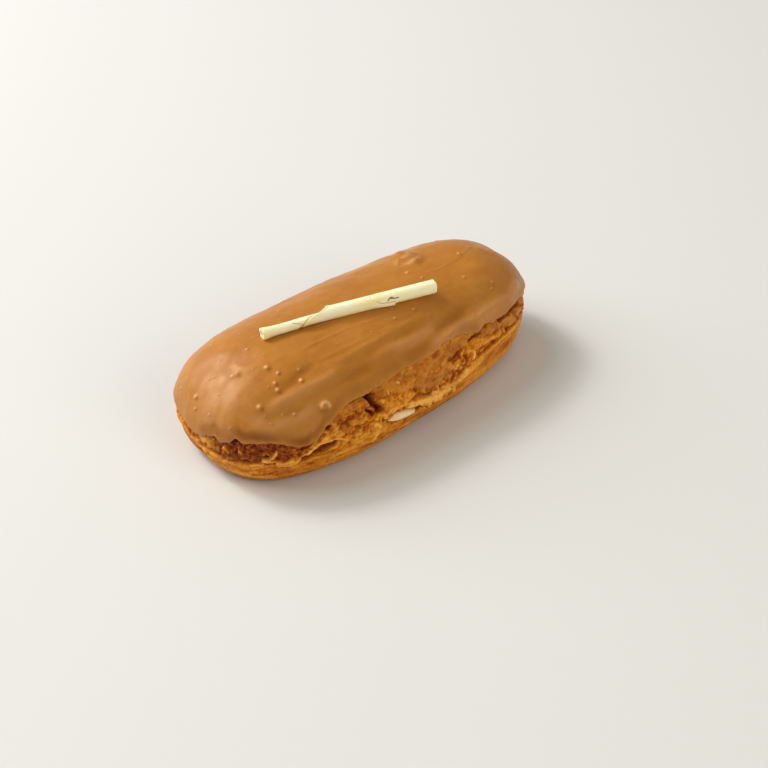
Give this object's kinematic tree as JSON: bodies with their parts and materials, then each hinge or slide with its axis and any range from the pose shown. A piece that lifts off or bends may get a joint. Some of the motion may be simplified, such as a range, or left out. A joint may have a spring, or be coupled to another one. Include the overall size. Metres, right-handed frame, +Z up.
{
  "type": "eclair",
  "caption": "Long choux bun with smooth caramel icing poured over its top, cream showing in a side split and a rolled white chocolate stick laid across it.",
  "frame": {"origin": "middle of the part's footprint, on the surface it rests on", "axes": "+X along the bun's length, +Z up, -Y towards the side where the cream shows"},
  "size_m": [0.1326, 0.0622, 0.041],
  "materials": {
    "choux_crust": "baked golden crust, rough and flaky, darker under the icing",
    "caramel_icing": "poured caramel icing with a soft satin gloss",
    "pastry_cream": "soft moist cream",
    "white_chocolate": "smooth waxy white chocolate"
  },
  "bodies": {
    "root": {"choux": "choux_crust", "icing": "caramel_icing", "cream": "pastry_cream", "chocolate_stick": "white_chocolate"}
  },
  "joints": []
}
